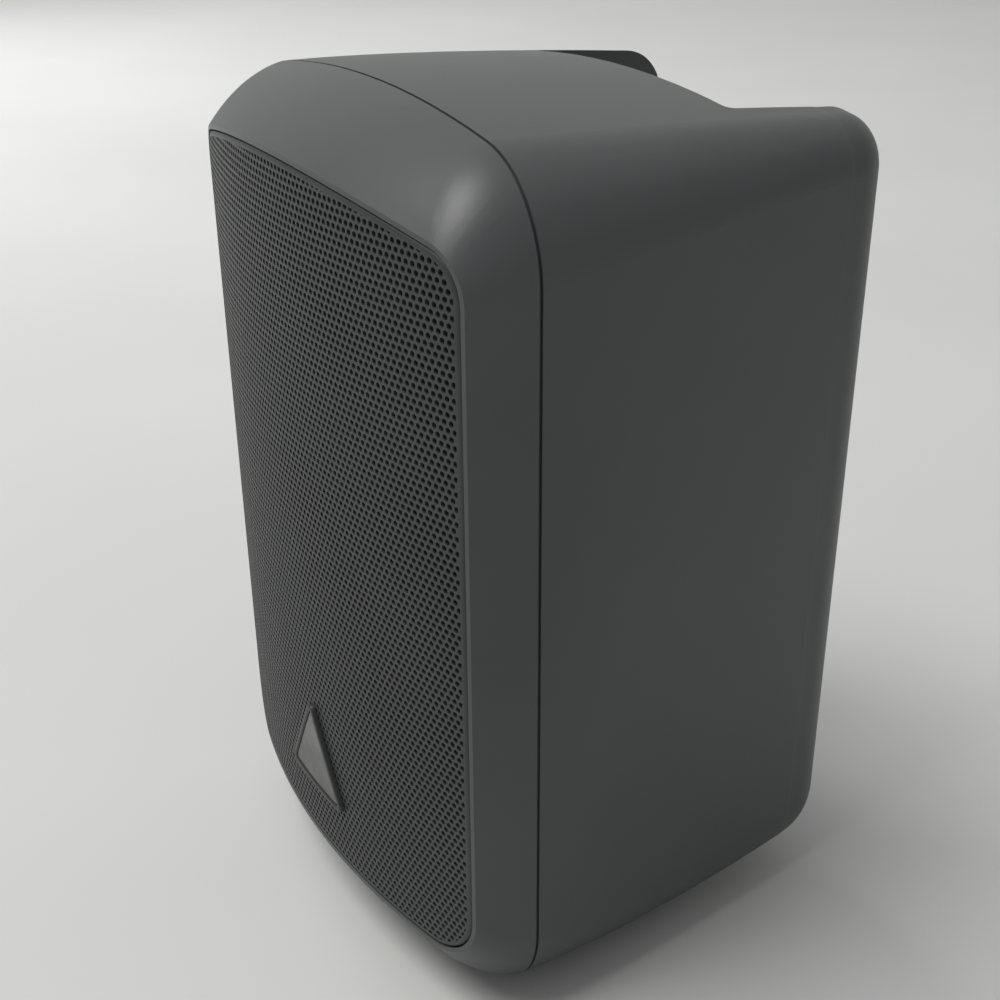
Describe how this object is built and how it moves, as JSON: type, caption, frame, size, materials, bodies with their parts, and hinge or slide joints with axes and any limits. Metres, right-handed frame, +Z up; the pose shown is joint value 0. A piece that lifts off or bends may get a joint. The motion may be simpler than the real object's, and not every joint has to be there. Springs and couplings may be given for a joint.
{
  "type": "pa speaker",
  "caption": "Compact two-way installation loudspeaker: tapered moulded cabinet with a rear bracket channel, bowed perforated grille that pulls off, and spring terminals.",
  "frame": {"origin": "middle of the footprint box, at the underside of the rubber feet", "axes": "+Z up, the grille faces -Y, X is across the front and X = 0 is the plane of symmetry of the cabinet"},
  "size_m": [0.155, 0.1445, 0.237],
  "materials": {
    "enclosure_plastic": "fine-grained charcoal moulding",
    "bezel_plastic": "satin charcoal moulding",
    "grille_steel": "matt black powder coat, perforated",
    "scrim": "thin black acoustic cloth",
    "badge_metal": "satin silver-grey",
    "badge_rim_plastic": "dark moulded rim",
    "black_plastic": "black moulding",
    "black_rubber": "matt",
    "steel_screw": "blackened steel",
    "zinc_steel": "zinc plated",
    "brass_insert": "knurled",
    "basket_paint": "black paint on pressed steel",
    "cone_paper": "black-pigmented pressed pulp",
    "coil_copper": "enamelled wire on a paper former",
    "spider_cloth": "resin-dipped corrugated cloth",
    "ferrite": "ground ferrite",
    "dome_film": "moulded film",
    "lever_red": "red moulding",
    "lever_black": "black moulding",
    "spring_bronze": "phosphor bronze strip",
    "board_laminate": "phenolic laminate",
    "can_sleeve": "sleeved can",
    "cement": "white cement",
    "lamp_glass": "clear glass tube",
    "foam": "open-cell foam pad",
    "lead_red": "red insulation",
    "lead_black": "black insulation"
  },
  "bodies": {
    "cabinet": {"rear_enclosure": "enclosure_plastic", "cabinet_gasket": "black_rubber", "bracket_inserts": "brass_insert", "rubber_feet": "black_rubber", "front_baffle": "bezel_plastic", "cabinet_screws": "steel_screw", "port_tube_left": "black_plastic", "port_tube_right": "black_plastic", "grille_sockets": "black_rubber", "woofer_seal": "foam", "woofer_basket": "basket_paint", "woofer_surround": "black_rubber", "woofer_spider": "spider_cloth", "woofer_top_plate": "zinc_steel", "woofer_magnet": "ferrite", "woofer_back_plate": "zinc_steel", "woofer_lugs": "zinc_steel", "woofer_screws": "steel_screw", "tweeter_faceplate": "black_plastic", "tweeter_surround": "dome_film", "tweeter_top_plate": "zinc_steel", "tweeter_magnet": "ferrite", "tweeter_pole": "zinc_steel", "tweeter_lugs": "zinc_steel", "tweeter_screws": "steel_screw", "terminal_cup": "black_plastic", "terminal_screws": "steel_screw", "lever_pins": "zinc_steel", "contact_pins": "zinc_steel", "crossover_board": "board_laminate", "crossover_standoffs": "black_plastic", "crossover_screws": "steel_screw", "woofer_inductor": "coil_copper", "tweeter_inductor": "coil_copper", "woofer_capacitor": "can_sleeve", "tweeter_capacitor": "can_sleeve", "crossover_resistor": "cement", "protection_lamp": "lamp_glass", "damping_pad_left": "foam", "damping_pad_right": "foam", "woofer_lead_red": "lead_red", "woofer_lead_black": "lead_black", "tweeter_lead_red": "lead_red", "tweeter_lead_black": "lead_black", "leaf_spring_red": "spring_bronze", "leaf_spring_black": "spring_bronze"},
    "grille_panel": {"grille": "grille_steel", "grille_cloth": "scrim", "grille_pegs": "black_plastic", "badge_rim": "badge_rim_plastic", "badge_plate": "badge_metal", "badge_nuts": "zinc_steel"},
    "woofer_diaphragm": {"woofer_cone": "cone_paper", "woofer_dust_cap": "cone_paper", "woofer_voice_coil": "coil_copper"},
    "tweeter_diaphragm": {"tweeter_dome": "dome_film", "tweeter_voice_coil": "coil_copper"},
    "lever_red": {"push_lever_red": "lever_red"},
    "lever_black": {"push_lever_black": "lever_black"}
  },
  "joints": [
    {"name": "grille_pull_off", "type": "slide", "parent": "cabinet", "child": "grille_panel", "axis": [0, -1, 0], "range_m": [0, 0.03]},
    {"name": "woofer_travel", "type": "slide", "parent": "cabinet", "child": "woofer_diaphragm", "axis": [0, -1, 0], "range_m": [-0.003, 0.003], "stiffness_N_per_m": 2200, "deforming": ["woofer_surround", "woofer_spider"]},
    {"name": "tweeter_travel", "type": "slide", "parent": "cabinet", "child": "tweeter_diaphragm", "axis": [0, -1, 0], "range_m": [-0.0003, 0.0003], "stiffness_N_per_m": 900, "deforming": ["tweeter_surround"]},
    {"name": "lever_press_red", "type": "hinge", "parent": "cabinet", "child": "lever_red", "pos_m": [0.014, 0.02385, 0.186], "axis": [-1, 0, 0], "range_deg": [0, 18], "stiffness_Nm_per_rad": 0.12, "springref_deg": -20.05, "deforming": ["leaf_spring_red"]},
    {"name": "lever_press_black", "type": "hinge", "parent": "cabinet", "child": "lever_black", "pos_m": [-0.014, 0.02385, 0.186], "axis": [-1, 0, 0], "range_deg": [0, 18], "stiffness_Nm_per_rad": 0.12, "springref_deg": -20.05, "deforming": ["leaf_spring_black"]}
  ]
}
